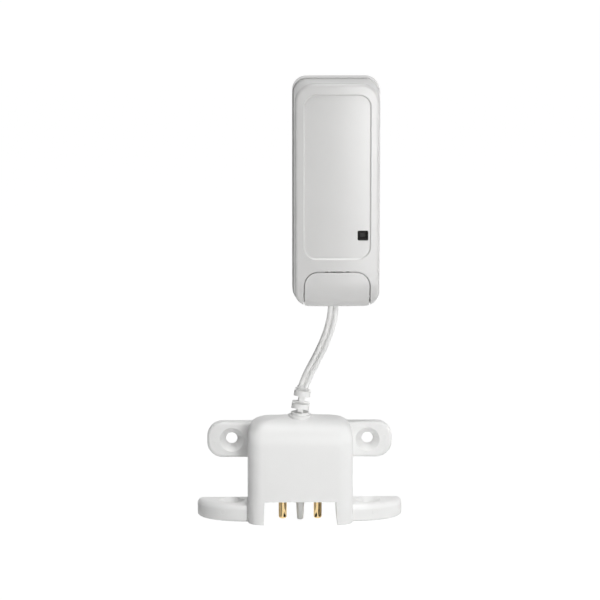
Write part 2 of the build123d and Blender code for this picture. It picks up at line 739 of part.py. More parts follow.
# Probe housing: domed body on two feet, with two ears, hollow inside and open where the carrier closes it
body_middle = body_depth / 2
cavity_round = body_middle - body_wall - neck_flange_radius
probe_depth = body_depth - probe_setback
probe_board_depth = body_depth - 2 * (body_wall + probe_board_margin)
foot_reach = body_width / 2 + foot_stand
ear_reach = body_width / 2 + ear_stand
hole_reach = body_width / 2 + hole_stand
dome_foot = body_top - body_middle
dome_start = dome_foot - dome_lead
shoulder_x = body_width / 2 - body_shoulder
arch_middle = body_top - body_arch
shoulder_z = arch_middle + sqrt((body_arch - body_shoulder) ** 2 - shoulder_x ** 2)
arch_start = arch_middle + (shoulder_z - arch_middle) * body_arch / (body_arch - body_shoulder)
gap_top = body_bottom + gap_height
foot_top = body_bottom + foot_thickness
recess_floor = body_top - recess_drop


def half_width(height):
    """Half of the body's width at a height: upright sides, then the round shoulder, then the flat arch."""
    if height <= shoulder_z:
        return body_width / 2
    if height <= arch_start:
        return shoulder_x + sqrt(body_shoulder ** 2 - (height - shoulder_z) ** 2)
    return sqrt(body_arch ** 2 - (height - arch_middle) ** 2)


def body_section(height, share):
    """Level outline of the body, whose depth and corner rounds are this share of the full ones."""
    with BuildSketch(level_plane(height, 0, body_middle)) as section:
        Rectangle(2 * half_width(height), body_depth * share)
        fillet(section.vertices().group_by(Axis.Y)[-1], radius=body_front_corner * share)
        fillet(section.vertices().group_by(Axis.Y)[0], radius=body_rear_corner * share)
    return section.sketch


with BuildPart() as sensor_housing:
    with BuildSketch(front_plane(0, 0, (ear_top + ear_bottom) / 2)):
        RectangleRounded(2 * ear_reach, ear_top - ear_bottom, ear_corner)
    extrude(amount=ear_thickness)
    fillet(sensor_housing.edges().group_by(Axis.Y)[0], radius=ear_edge)
    with BuildPart(mode=Mode.PRIVATE) as feet:
        with BuildSketch(level_plane(body_bottom)):
            with BuildLine():
                Line((0, 0), (foot_reach - foot_rear_corner, 0))
                CenterArc((foot_reach - foot_rear_corner, foot_rear_corner), foot_rear_corner, -quarter_turn,
                          quarter_turn)
                EllipticalCenterArc((foot_reach - foot_sweep, foot_rear_corner), foot_sweep,
                                    foot_depth - foot_rear_corner, start_angle=0, arc_size=quarter_turn)
                Polyline((foot_reach - foot_sweep, foot_depth), (0, foot_depth), (0, 0))
            make_face()
            mirror(about=Plane.YZ)
        extrude(amount=-foot_thickness)
        upper_rim = feet.edges().group_by(Axis.Z)[-1].filter_by(lambda edge: (edge @ 0.5).Y < -touch)
        lower_rim = feet.edges().group_by(Axis.Z)[0].filter_by(lambda edge: (edge @ 0.5).Y < -touch)
        fillet(upper_rim, radius=foot_edge)
        fillet(lower_rim, radius=foot_lower_edge)
    add(feet.part)
    with BuildPart(mode=Mode.PRIVATE) as trunk:
        add(body_section(body_bottom, 1))
        extrude(amount=dome_start - body_bottom, dir=(0, 0, 1))
        fillet(trunk.edges().group_by(Axis.Z)[0], radius=body_edge)
    add(trunk.part)
    with BuildPart(mode=Mode.PRIVATE) as dome:
        add(body_section(dome_start, 1))
        add(body_section(dome_start + dome_lead / 2, 1))
        for rise_share in dome_rise_shares:
            add(body_section(dome_foot + body_middle * rise_share, sqrt(1 - rise_share ** 2)))
        loft()
    add(dome.part)
    with BuildSketch(front_plane(-overrun, 0, body_bottom)):
        Polygon((-gap_width / 2 - gap_draft, 0), (gap_width / 2 + gap_draft, 0), (gap_width / 2, gap_height),
                (-gap_width / 2, gap_height), align=None)
    extrude(amount=body_depth + 2 * overrun, mode=Mode.SUBTRACT)
    with BuildPart(mode=Mode.PRIVATE) as cavity:
        with BuildSketch(level_plane(gap_top - overrun, 0, body_middle)):
            Rectangle(2 * cavity_side, body_depth - 2 * body_wall)
        extrude(amount=-(cavity_top - gap_top + overrun))
        fillet(cavity.edges().group_by(Axis.Z)[-1].filter_by(Axis.X), radius=cavity_round)
    add(cavity.part, mode=Mode.SUBTRACT)
    with BuildSketch(level_plane(recess_floor, 0, body_middle)):
        Circle(recess_radius)
    extrude(amount=-2 * recess_drop, mode=Mode.SUBTRACT)
    with BuildSketch(level_plane(recess_floor, 0, body_middle)):
        Circle(neck_radius + touch)
    extrude(amount=recess_floor - cavity_top + overrun, mode=Mode.SUBTRACT)
    for hole_x in (-hole_reach, hole_reach):
        with BuildSketch(front_plane(0, hole_x)):
            Circle(hole_radius)
        extrude(amount=ear_thickness, mode=Mode.SUBTRACT)
        with BuildSketch(front_plane(ear_hole_lip, hole_x)):
            Circle(hole_radius)
        with BuildSketch(front_plane(ear_thickness, hole_x)):
            Circle(ear_sink_radius)
        loft(mode=Mode.SUBTRACT)
        with BuildSketch(level_plane(foot_top, hole_x, foot_hole_depth)):
            Circle(hole_radius)
        extrude(amount=foot_thickness, mode=Mode.SUBTRACT)
        with BuildSketch(level_plane(foot_top, hole_x, foot_hole_depth)):
            Circle(foot_sink_radius)
        with BuildSketch(level_plane(foot_top - foot_sink_radius + hole_radius, hole_x, foot_hole_depth)):
            Circle(hole_radius)
        loft(mode=Mode.SUBTRACT)
sensor_housing.part.label = "sensor_housing"

# Grey carrier that closes the housing from below, with the short post between the pins
carrier_top = gap_top + carrier_thickness
sensor_board_bottom = carrier_top + carrier_leg
sensor_board_top = sensor_board_bottom + probe_board_thickness
pin_places = ((-pin_spacing / 2, probe_depth), (pin_spacing / 2, probe_depth))
leg_places = [(leg_x, body_middle + leg_side * carrier_leg_gap / 2)
              for leg_x in (-carrier_leg_x, carrier_leg_x) for leg_side in (-1, 1)]
room_width = 2 * (cavity_side - touch)
room_depth = body_depth - 2 * (body_wall + touch)
with BuildPart() as probe_carrier:
    with BuildSketch(level_plane(gap_top, 0, body_middle)):
        Rectangle(room_width, room_depth)
        with Locations(*((x, depth - body_middle) for x, depth in pin_places)):
            Circle(pin_radius + touch, mode=Mode.SUBTRACT)
    extrude(amount=-carrier_thickness)
    for leg_x, leg_depth in leg_places:
        with BuildSketch(level_plane(carrier_top, leg_x, leg_depth)):
            Circle(carrier_leg_radius)
        extrude(amount=-carrier_leg)
    with BuildSketch(level_plane(gap_top, 0, probe_depth)):
        Circle(post_foot_radius)
    with BuildSketch(level_plane(gap_top - post_length, 0, probe_depth)):
        Circle(post_tip_radius)
    loft()
    fillet(probe_carrier.edges().group_by(Axis.Z)[0], radius=post_round)
probe_carrier.part.label = "probe_carrier"


def probe_pin(x, label):
    """Gold pin with a collar above the carrier and a thin tail that is soldered through the board."""
    with BuildPart() as pin:
        with BuildSketch(level_plane(gap_top - pin_tip, x, probe_depth)):
            Circle(pin_radius)
        extrude(amount=-(pin_tip + carrier_thickness))
        fillet(pin.edges().group_by(Axis.Z)[0], radius=pin_tip_round)
        with BuildSketch(level_plane(carrier_top, x, probe_depth)):
            Circle(pin_collar_radius)
        extrude(amount=-pin_collar)
        with BuildSketch(level_plane(carrier_top, x, probe_depth)):
            Circle(pin_tail_radius)
        extrude(amount=-(carrier_leg + probe_board_thickness + tail_stand))
    pin.part.label = label
    return pin


probe_pin_left = probe_pin(-pin_spacing / 2, "probe_pin_left")
probe_pin_right = probe_pin(pin_spacing / 2, "probe_pin_right")

with BuildPart() as sensor_board:
    with BuildSketch(level_plane(sensor_board_bottom, 0, body_middle)):
        RectangleRounded(probe_board_width, probe_board_depth, board_corner)
        with Locations(*((x, depth - body_middle) for x, depth in pin_places)):
            Circle(pin_tail_radius + touch, mode=Mode.SUBTRACT)
    extrude(amount=-probe_board_thickness)
sensor_board.part.label = "sensor_board"

probe_chip_depth = body_middle - probe_board_depth / 4
with BuildPart() as sensor_chip:
    with BuildSketch(level_plane(sensor_board_top, 0, probe_chip_depth)):
        Rectangle(probe_chip, probe_chip)
    extrude(amount=-probe_chip_thickness)
sensor_chip.part.label = "sensor_chip"

# Two wires from the strain relief down to the board
wire_top = cavity_top - neck_flange - touch
wire_turn = sensor_board_top + potting_height
with BuildPart() as sensor_wires:
    for wire_side in (-1, 1):
        wire_start = wire_side * cord_width / 4
        with BuildLine() as wire_path:
            FilletPolyline((wire_start, -body_middle, wire_top), (wire_start, -body_middle, wire_top - wire_slack),
                           (wire_side * wire_spread, -body_middle, wire_turn),
                           (wire_side * wire_spread, -body_middle, sensor_board_top), radius=wire_bend)
        with BuildSketch(level_plane(wire_top, wire_start, body_middle)):
            Circle(wire_radius)
        sweep(path=wire_path.line)
sensor_wires.part.label = "sensor_wires"

# Potting that fills the lower part of the housing round the board
with BuildPart() as potting_fill:
    with BuildSketch(level_plane(carrier_top, 0, body_middle)):
        Rectangle(room_width, room_depth)
    extrude(amount=-potting_height)
    with BuildSketch(level_plane(carrier_top, 0, body_middle)):
        with Locations(*((x, depth - body_middle) for x, depth in pin_places)):
            Circle(pin_collar_radius + touch)
    extrude(amount=-(pin_collar + touch), mode=Mode.SUBTRACT)
    with BuildSketch(level_plane(carrier_top, 0, body_middle)):
        with Locations(*((x, depth - body_middle) for x, depth in pin_places)):
            Circle(pin_tail_radius + touch)
    extrude(amount=-(sensor_board_top - carrier_top + tail_stand + touch), mode=Mode.SUBTRACT)
    with BuildSketch(level_plane(carrier_top, 0, body_middle)):
        with Locations(*((x, depth - body_middle) for x, depth in leg_places)):
            Circle(carrier_leg_radius + touch)
    extrude(amount=-carrier_leg, mode=Mode.SUBTRACT)
    with BuildSketch(level_plane(sensor_board_bottom - touch, 0, body_middle)):
        RectangleRounded(probe_board_width + 2 * touch, probe_board_depth + 2 * touch, board_corner + touch)
    extrude(amount=-(probe_board_thickness + 2 * touch), mode=Mode.SUBTRACT)
    with BuildSketch(level_plane(sensor_board_top, 0, probe_chip_depth)):
        Rectangle(probe_chip + 2 * touch, probe_chip + 2 * touch)
    extrude(amount=-(probe_chip_thickness + touch), mode=Mode.SUBTRACT)
    with BuildSketch(level_plane(sensor_board_top, 0, body_middle)):
        with Locations((-wire_spread, 0), (wire_spread, 0)):
            Circle(wire_radius + touch)
    extrude(amount=-potting_height, mode=Mode.SUBTRACT)
potting_fill.part.label = "potting_fill"

# Strain relief: a flange on the dome, then notched and slit rings that lean towards the case
relief_foot = recess_floor + flange_height + collar_height
lean = radians(relief_tilt)
back_lean = radians(relief_lean)
relief_axis = Plane(origin=(relief_shift, -body_middle, relief_foot), x_dir=(cos(lean), 0, -sin(lean)),
                    z_dir=(sin(lean) * cos(back_lean), sin(back_lean), cos(lean) * cos(back_lean)))
lower_foot = notch_height
lower_top = lower_foot + lower_ring
upper_foot = lower_top + upper_notch
upper_top = upper_foot + upper_ring
cap_foot = upper_top + slit_height
relief_height = cap_foot + cap_height
cord_end = relief_axis.from_local_coords(Vector(0, 0, relief_height))
fall_lean = radians(cord_lean)
cord_way = Vector(sin(radians(cap_tilt)) * cos(fall_lean), sin(fall_lean), cos(radians(cap_tilt)) * cos(fall_lean))
with BuildPart() as strain_relief:
    with BuildSketch(level_plane(recess_floor, 0, body_middle)):
        Circle(flange_radius)
    extrude(amount=-flange_height)
    with BuildSketch(level_plane(recess_floor, 0, body_middle)):
        Circle(collar_radius)
    extrude(amount=-(flange_height + collar_height))
    with BuildSketch(level_plane(recess_floor, 0, body_middle)):
        Circle(neck_radius)
    extrude(amount=recess_floor - cavity_top + neck_flange + touch)
    with BuildSketch(level_plane(cavity_top - touch, 0, body_middle)):
        Circle(neck_flange_radius)
    extrude(amount=neck_flange)
    with BuildSketch(relief_axis.offset(-touch)):
        RectangleRounded(relief_spine, 2 * relief_web, relief_spine / 4)
    extrude(amount=upper_foot + 2 * touch)
    with BuildSketch(relief_axis.offset(lower_foot)):
        Circle(relief_radius)
    extrude(amount=lower_ring - ring_chamfer)
    with BuildSketch(relief_axis.offset(lower_top - ring_chamfer)):
        Circle(relief_radius)
    with BuildSketch(relief_axis.offset(lower_top)):
        Circle(relief_radius - ring_chamfer)
    loft()
    with BuildSketch(relief_axis.offset(upper_foot)):
        Circle(relief_upper_radius)
    extrude(amount=upper_ring)
    with BuildSketch(relief_axis.offset(upper_top - touch)):
        RectangleRounded(2 * relief_web, relief_web, relief_web / 4)
    extrude(amount=slit_height + 2 * touch)
    with BuildSketch(relief_axis.offset(cap_foot)):
        Circle(relief_upper_radius)
    with BuildSketch(relief_axis.offset(relief_height)):
        Circle(cap_radius)
    loft()
    with BuildSketch(relief_axis.offset(relief_height)):
        Circle(cap_radius)
    extrude(amount=cap_spare)
    split(bisect_by=Plane(origin=cord_end, z_dir=cord_way), keep=Keep.BOTTOM)
    slit_plane = relief_axis.offset(lower_foot + slit_rise)
    with BuildSketch(slit_plane):
        Circle(relief_radius + overrun)
        Rectangle(2 * relief_radius + 3 * overrun, relief_web, mode=Mode.SUBTRACT)
    extrude(amount=slit_height, mode=Mode.SUBTRACT)
strain_relief.part.label = "strain_relief"

# Flat twin cord from the anchor in the base down to the strain relief, by straight runs with a bend between each two
cord_corners = [Vector(cord_x, -cord_depth, anchor_foot), Vector(cord_x, -cord_depth, cord_fall)]
cord_corners += [Vector(x, -depth, height) for x, depth, height in cord_route]
cord_corners += [cord_end + cord_way * cord_rise, cord_end]
cord_bends = []
for before, corner, after in zip(cord_corners, cord_corners[1:], cord_corners[2:]):
    half_turn = radians((corner - before).get_angle(after - corner)) / 2
    shorter_run = min((corner - before).length, (after - corner).length)
    cord_bends.append(cord_bend_share * shorter_run / tan(half_turn))
with BuildPart() as sensor_cord:
    with BuildLine() as cord_path:
        FilletPolyline(*cord_corners, radius=cord_bends)
    with BuildSketch(level_plane(anchor_foot, cord_x, cord_depth)) as cord_section:
        lobe_middle = (cord_width - cord_thickness) / 2
        with Locations((-lobe_middle, 0), (lobe_middle, 0)):
            Circle(cord_thickness / 2)
    sweep(path=cord_path.line)
sensor_cord.part.label = "sensor_cord"
cord_length = cord_path.wires()[0].length
print("cord length", round(cord_length, 2), "bend radii", [round(bend, 1) for bend in cord_bends])
print("cord volume", round(sensor_cord.part.volume, 2), "section times length",
      round(cord_section.sketch.area * cord_length, 2))

pieces = [rear_base, front_cover, wiring_door, led_window, circuit_board, board_screws, battery,
          battery_leaf_contact, battery_plate_contact, radio_shield, board_chips, status_led, antenna,
          tamper_switch, tamper_plunger, enrol_switch, enrol_button, terminal_block, terminal_screws,
          cord_anchor, cord_leads, sensor_housing, probe_carrier, probe_pin_left, probe_pin_right, sensor_board,
          sensor_chip, sensor_wires, potting_fill, strain_relief, sensor_cord]

os.makedirs("parts", exist_ok=True)
for piece in pieces:
    export_step(piece.part, f"parts/{piece.part.label}.step")
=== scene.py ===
"""Looks of a wireless water leak detector: its finishes, its flat cord, its studio and its camera.

Lengths in the classes are millimetres, as on a drawing, and turn into Blender's metres where a mesh is made.
The wall is the plane Y = 0, the front looks towards -Y, and Z is up.
"""

import json
import logging
import math
from dataclasses import dataclass, field
from enum import Enum
from typing import Any, Optional, Union

import bmesh
import bpy
from mathutils import Matrix, Vector

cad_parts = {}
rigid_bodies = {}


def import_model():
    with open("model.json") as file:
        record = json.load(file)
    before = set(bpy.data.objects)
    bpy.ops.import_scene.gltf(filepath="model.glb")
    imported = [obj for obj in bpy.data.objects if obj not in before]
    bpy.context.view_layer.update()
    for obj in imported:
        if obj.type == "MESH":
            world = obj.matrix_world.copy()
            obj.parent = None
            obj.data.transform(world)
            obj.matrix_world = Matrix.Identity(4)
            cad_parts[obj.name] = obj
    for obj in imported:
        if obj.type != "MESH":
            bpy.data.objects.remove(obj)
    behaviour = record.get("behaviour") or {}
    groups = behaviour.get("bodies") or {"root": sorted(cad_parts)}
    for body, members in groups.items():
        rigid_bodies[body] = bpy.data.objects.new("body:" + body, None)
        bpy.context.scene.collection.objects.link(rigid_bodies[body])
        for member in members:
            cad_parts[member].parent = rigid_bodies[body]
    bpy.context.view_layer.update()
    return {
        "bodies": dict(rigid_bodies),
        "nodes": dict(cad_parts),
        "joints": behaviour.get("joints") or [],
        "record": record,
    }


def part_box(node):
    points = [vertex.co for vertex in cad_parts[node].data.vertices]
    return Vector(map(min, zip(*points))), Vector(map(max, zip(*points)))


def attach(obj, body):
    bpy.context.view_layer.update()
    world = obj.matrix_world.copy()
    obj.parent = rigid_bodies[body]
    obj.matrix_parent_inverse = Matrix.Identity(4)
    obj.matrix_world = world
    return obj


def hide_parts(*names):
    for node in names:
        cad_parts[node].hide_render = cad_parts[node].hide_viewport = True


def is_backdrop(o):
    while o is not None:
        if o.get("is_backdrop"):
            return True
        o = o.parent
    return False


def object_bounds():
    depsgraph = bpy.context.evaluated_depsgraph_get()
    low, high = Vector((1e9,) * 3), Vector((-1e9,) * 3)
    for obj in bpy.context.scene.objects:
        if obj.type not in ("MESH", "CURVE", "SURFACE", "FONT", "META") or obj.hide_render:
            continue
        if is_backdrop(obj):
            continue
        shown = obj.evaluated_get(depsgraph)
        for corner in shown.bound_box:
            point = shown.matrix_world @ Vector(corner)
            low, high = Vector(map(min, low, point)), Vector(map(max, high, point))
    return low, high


log = logging.getLogger("leak_detector")

MM = 0.001
NOISE_MIDDLE = 0.5
Colour = tuple[float, float, float]
Point = tuple[float, float, float]
WHITE: Colour = (1.0, 1.0, 1.0)
BLACK: Colour = (0.0, 0.0, 0.0)


def rgba(colour: Colour, gain: float = 1.0) -> tuple[float, float, float, float]:
    """A colour with its alpha, made lighter or darker by a gain."""
    return (colour[0] * gain, colour[1] * gain, colour[2] * gain, 1.0)


class Signal:
    """A number that varies over a surface. Arithmetic on it adds Math nodes to its graph."""

    def __init__(self, graph: "Graph", socket: bpy.types.NodeSocket) -> None:
        """Wraps a socket.

        Args:
            graph: the graph that new Math nodes go into.
            socket: the output that carries the number.
        """
        self.graph = graph
        self.socket = socket

    def _math(self, operation: str, first: Any, second: Any) -> "Signal":
        """Adds one Math node.

        Args:
            operation: Blender's name of the operation.
            first: the first operand, a number or a signal.
            second: the second operand, a number or a signal.

        Returns:
            The node's result.
        """
        node = self.graph.add("ShaderNodeMath", {"operation": operation}, {0: first, 1: second})
        return Signal(self.graph, node.outputs[0])

    def __add__(self, other: Any) -> "Signal":
        """Sum."""
        return self._math("ADD", self, other)

    def __radd__(self, other: Any) -> "Signal":
        """Sum with a plain number on the left."""
        return self._math("ADD", other, self)

    def __sub__(self, other: Any) -> "Signal":
        """Difference."""
        return self._math("SUBTRACT", self, other)

    def __rsub__(self, other: Any) -> "Signal":
        """Difference from a plain number."""
        return self._math("SUBTRACT", other, self)

    def __mul__(self, other: Any) -> "Signal":
        """Product."""
        return self._math("MULTIPLY", self, other)

    def __rmul__(self, other: Any) -> "Signal":
        """Product with a plain number on the left."""
        return self._math("MULTIPLY", other, self)

    def above(self, limit: float) -> "Signal":
        """1 where the signal is over the limit, and 0 elsewhere."""
        return self._math("GREATER_THAN", self, limit)


Operand = Union[Signal, bpy.types.NodeSocket, float, tuple]
Inputs = dict[Union[str, int], Operand]


class Graph:
    """The node tree of one material or of the world."""

    def __init__(self, owner: Union[bpy.types.Material, bpy.types.World]) -> None:
        """Clears the owner's tree.

        Args:
            owner: the material or world whose nodes are written.
        """
        owner.use_nodes = True
        self.tree = owner.node_tree
        self.tree.nodes.clear()

    def add(self, kind: str, settings: Optional[dict[str, Any]] = None,
            inputs: Optional[Inputs] = None) -> bpy.types.Node:
        """Adds any node.

        Args:
            kind: the node's type.
            settings: its properties, such as a Math node's operation, set first.
            inputs: values or links of its sockets, by name or number.

        Returns:
            The new node.
        """
        node = self.tree.nodes.new(kind)
        for name, value in (settings or {}).items():
            setattr(node, name, value)
        for key, value in (inputs or {}).items():
            source = value.socket if isinstance(value, Signal) else value
            if isinstance(source, bpy.types.NodeSocket):
                self.tree.links.new(source, node.inputs[key])
            else:
                node.inputs[key].default_value = source
        return node

    def places(self) -> bpy.types.NodeSocket:
        """Object coordinates, which are the frame's own places in metres."""
        return self.add("ShaderNodeTexCoord").outputs["Object"]

    def stretched(self, scale: Point) -> bpy.types.NodeSocket:
        """Object coordinates, scaled along each axis."""
        return self.add("ShaderNodeMapping", {}, {"Vector": self.places(), "Scale": scale}).outputs[0]

    def noise(self, size: float, detail: float = 2.0) -> Signal:
        """Cloudy noise.

        Args:
            size: width of a cloud, in millimetres.
            detail: number of finer layers.

        Returns:
            A signal that drifts by about a quarter to each side of NOISE_MIDDLE.
        """
        node = self.add("ShaderNodeTexNoise", {}, {
            "Vector": self.places(), "Scale": 1 / (size * MM), "Detail": detail})
        return Signal(self, node.outputs[0])

    def blend(self, share: Operand, first: Operand, second: Operand) -> bpy.types.NodeSocket:
        """Mixes two colours.

        Args:
            share: how much of the second colour shows.
            first: the first colour, as four numbers or a link.
            second: the second colour.

        Returns:
            The mixed colour.
        """
        node = self.add("ShaderNodeMix", {"data_type": "RGBA"}, {0: share, 6: first, 7: second})
        return node.outputs[2]

    def clouded(self, share: Signal, colour: Colour, tone: float) -> bpy.types.NodeSocket:
        """A colour that drifts with the share, from darker by a tone to lighter by it."""
        return self.blend(share, rgba(colour, 1 - tone), rgba(colour, 1 + tone))

    def relief(self, height: Operand, depth: float) -> bpy.types.NodeSocket:
        """Fine relief of a surface.

        Args:
            height: the height signal, from 0 to 1.
            depth: depth of the relief in millimetres.

        Returns:
            The bent normal.
        """
        bump = self.add("ShaderNodeBump", {}, {"Height": height, "Strength": 1.0, "Distance": depth * MM})
        return bump.outputs[0]

    def surface(self, shader: bpy.types.Node) -> None:
        """Links a shader to the output."""
        output = self.add("ShaderNodeOutputMaterial")
        self.tree.links.new(shader.outputs[0], output.inputs["Surface"])


@dataclass(frozen=True)
class Finish:
    """What a piece is made of or coated with. Its name is the material's."""

    name: str

    def make(self) -> bpy.types.Material:
        """Builds the material.

        Returns:
            The new material.
        """
        material = bpy.data.materials.new(self.name)
        graph = Graph(material)
        graph.surface(graph.add("ShaderNodeBsdfPrincipled", {}, self.coat(graph)))
        return material

    def coat(self, graph: Graph) -> Inputs:
        """Works out what the shader's sockets get.

        Args:
            graph: the graph that takes the finish's nodes.

        Returns:
            Values and links, by the sockets' names.
        """
        raise NotImplementedError


@dataclass(frozen=True)
class MouldedPlastic(Finish):
    """Injection-moulded plastic with a spark-eroded grain and a faint drift of tone and gloss.

    Attributes:
        colour: the mean colour.
        roughness: the mean roughness.
        grain: width of the grain, in millimetres.
        depth: depth of the grain, in millimetres.
        tone: how far the colour drifts, as a share.
        cloud: width of a drift of colour, in millimetres.
        drift: how far the roughness drifts.
        patch: width of a drift of roughness, in millimetres.
    """

    colour: Colour
    roughness: float
    grain: float = 0.16
    depth: float = 0.003
    tone: float = 0.012
    cloud: float = 14.0
    drift: float = 0.05
    patch: float = 5.0

    def coat(self, graph: Graph) -> Inputs:
        """Works out what the shader's sockets get.

        Args:
            graph: the graph that takes the finish's nodes.

        Returns:
            Values and links, by the sockets' names.
        """
        clouds = graph.noise(self.cloud, detail=3.0)
        gloss = graph.noise(self.patch, detail=4.0)
        fine = graph.noise(self.grain)
        return {"Base Color": graph.clouded(clouds, self.colour, self.tone),
                "Roughness": (gloss - NOISE_MIDDLE) * self.drift + self.roughness,
                "Normal": graph.relief(fine, self.depth)}


@dataclass(frozen=True)
class SoftVinyl(Finish):
    """Vinyl that is drawn or moulded soft: smooth, with slight waves and a waxy sheen.

    Attributes:
        colour: the mean colour.
        roughness: the mean roughness.
        wave: width of the waves, in millimetres.
        depth: depth of the waves, in millimetres.
        tone: how far the colour drifts, as a share.
        cloud: width of a drift of colour, in millimetres.
        drift: how far the roughness drifts with the waves.
    """

    colour: Colour
    roughness: float
    wave: float = 1.6
    depth: float = 0.012
    tone: float = 0.015
    cloud: float = 7.0
    drift: float = 0.08

    def coat(self, graph: Graph) -> Inputs:
        """Works out what the shader's sockets get.

        Args:
            graph: the graph that takes the finish's nodes.

        Returns:
            Values and links, by the sockets' names.
        """
        waves = graph.noise(self.wave)
        clouds = graph.noise(self.cloud)
        return {"Base Color": graph.clouded(clouds, self.colour, self.tone),
                "Roughness": (waves - NOISE_MIDDLE) * self.drift + self.roughness,
                "Normal": graph.relief(waves, self.depth)}


@dataclass(frozen=True)
class SmokedPlastic(Finish):
    """Smoked clear plastic, polished, nearly black from outside.

    Attributes:
        colour: the mean colour.
        roughness: the least roughness.
        tone: how far the colour drifts, as a share.
        haze: width of a patch of haze, in millimetres.
        drift: how far the haze adds to the roughness.
        refraction: the plastic's index of refraction.
        specular: how strongly it mirrors, where 0.5 is usual.
    """

    colour: Colour
    roughness: float
    tone: float = 0.3
    haze: float = 0.9
    drift: float = 0.06
    refraction: float = 1.5
    specular: float = 0.3

    def coat(self, graph: Graph) -> Inputs:
        """Works out what the shader's sockets get.

        Args:
            graph: the graph that takes the finish's nodes.

        Returns:
            Values and links, by the sockets' names.
        """
        haze = graph.noise(self.haze)
        return {"Base Color": graph.clouded(haze, self.colour, self.tone),
                "Roughness": haze * self.drift + self.roughness,
                "IOR": self.refraction, "Specular IOR Level": self.specular}


class Lay(Enum):
    """Direction of the fine lines that a tool leaves in metal, as their fineness along each axis."""

    ROUND_THE_PIN = (60.0, 60.0, 2200.0)
    ALONG_X = (60.0, 1800.0, 1800.0)
    ALONG_Z = (1800.0, 1800.0, 60.0)


@dataclass(frozen=True)
class BareMetal(Finish):
    """Bare or plated metal with fine tool lines.

    Attributes:
        colour: the metal's colour.
        roughness: the mean roughness.
        lay: the way the tool lines run.
        depth: depth of the lines, in millimetres.
        fineness: how fine the lines are on top of what their lay gives.
        dull: gain of the colour where it is stained.
        bright: gain of the colour where it is clean.
        stain: width of a stain, in millimetres.
        drift: how far the lines change the roughness.
    """

    colour: Colour
    roughness: float
    lay: Lay = Lay.ALONG_Z
    depth: float = 0.0015
    fineness: float = 3.0
    dull: float = 0.9
    bright: float = 1.05
    stain: float = 2.4
    drift: float = 0.12

    def coat(self, graph: Graph) -> Inputs:
        """Works out what the shader's sockets get.

        Args:
            graph: the graph that takes the finish's nodes.

        Returns:
            Values and links, by the sockets' names.
        """
        lines = graph.add("ShaderNodeTexNoise", {}, {
            "Vector": graph.stretched(self.lay.value), "Scale": self.fineness, "Detail": 3.0})
        line = Signal(graph, lines.outputs[0])
        stains = graph.noise(self.stain, detail=3.0)
        dull, bright = rgba(self.colour, self.dull), rgba(self.colour, self.bright)
        return {"Base Color": graph.blend(stains, dull, bright), "Metallic": 1.0,
                "Roughness": (line - NOISE_MIDDLE) * self.drift + self.roughness,
                "Normal": graph.relief(line, self.depth)}


@dataclass(frozen=True)
class BoardLaminate(Finish):
    """Circuit board: solder mask over copper tracks, whose edges stand up a little.

    Attributes:
        mask: the mask's colour over bare board.
        track: its colour over copper.
        pitch: from track to track, in millimetres.
        run: length of a track's straight run, in pitches.
        track_width: width of a track, in pitches.
        edge: softness of a track's edge.
        shift: how far each row is shifted, in runs.
        roughness: the bare board's roughness.
        polish: how much smoother the mask is over copper.
        depth: how far the tracks stand up, in millimetres.
    """

    mask: Colour
    track: Colour
    pitch: float = 1.27
    run: float = 3.0
    track_width: float = 0.12
    edge: float = 0.1
    shift: float = 0.35
    roughness: float = 0.32
    polish: float = 0.06
    depth: float = 0.03

    def coat(self, graph: Graph) -> Inputs:
        """Works out what the shader's sockets get. The tracks are the joints of a brick pattern.

        Args:
            graph: the graph that takes the finish's nodes.

        Returns:
            Values and links, by the sockets' names.
        """
        upright = graph.add("ShaderNodeMapping", {}, {
            "Vector": graph.places(), "Rotation": (math.radians(90), 0.0, 0.0)})
        bricks = graph.add(
            "ShaderNodeTexBrick", {"offset": self.shift, "offset_frequency": 3, "squash_frequency": 4}, {
                "Vector": upright.outputs[0], "Scale": 1 / (self.pitch * MM), "Color1": rgba(BLACK),
                "Color2": rgba(BLACK), "Mortar": rgba(WHITE), "Mortar Size": self.track_width,
                "Mortar Smooth": self.edge, "Brick Width": self.run, "Row Height": 1.0})
        copper = Signal(graph, bricks.outputs["Fac"])
        return {"Base Color": graph.blend(copper, rgba(self.mask), rgba(self.track)),
                "Roughness": self.roughness - copper * self.polish,
                "Normal": graph.relief(copper, self.depth)}


@dataclass(frozen=True)
class CellSleeve(Finish):
    """Shrunk sleeve of the cell, with a plain pale band near its upper end.

    Attributes:
        colour: the sleeve's colour.
        band: the band's colour.
        low: height of the band's lower edge, in millimetres.
        high: height of its upper edge.
        roughness: the least roughness.
        drift: how far the wrinkles add to the roughness.
        wrinkle: width of a wrinkle, in millimetres.
        depth: depth of the wrinkles, in millimetres.
    """

    colour: Colour
    band: Colour
    low: float
    high: float
    roughness: float = 0.22
    drift: float = 0.12
    wrinkle: float = 2.2
    depth: float = 0.02

    def coat(self, graph: Graph) -> Inputs:
        """Works out what the shader's sockets get.

        Args:
            graph: the graph that takes the finish's nodes.

        Returns:
            Values and links, by the sockets' names.
        """
        split = graph.add("ShaderNodeSeparateXYZ", {}, {0: graph.places()})
        height = Signal(graph, split.outputs["Z"])
        inside = height.above(self.low * MM) * (1.0 - height.above(self.high * MM))
        wrinkles = graph.noise(self.wrinkle, detail=3.0)
        return {"Base Color": graph.blend(inside, rgba(self.colour), rgba(self.band)),
                "Roughness": wrinkles * self.drift + self.roughness,
                "Normal": graph.relief(wrinkles, self.depth)}


def dress(frame: dict[str, Any], node: str, finish: bpy.types.Material) -> None:
    """Gives a carried-over solid its finish.

    Args:
        frame: the loaded frame.
        node: name of the solid.
        finish: its material.
    """
    materials = frame["nodes"][node].data.materials
    materials.clear()
    materials.append(finish)
    log.info("%s wears %s", node, finish.name)


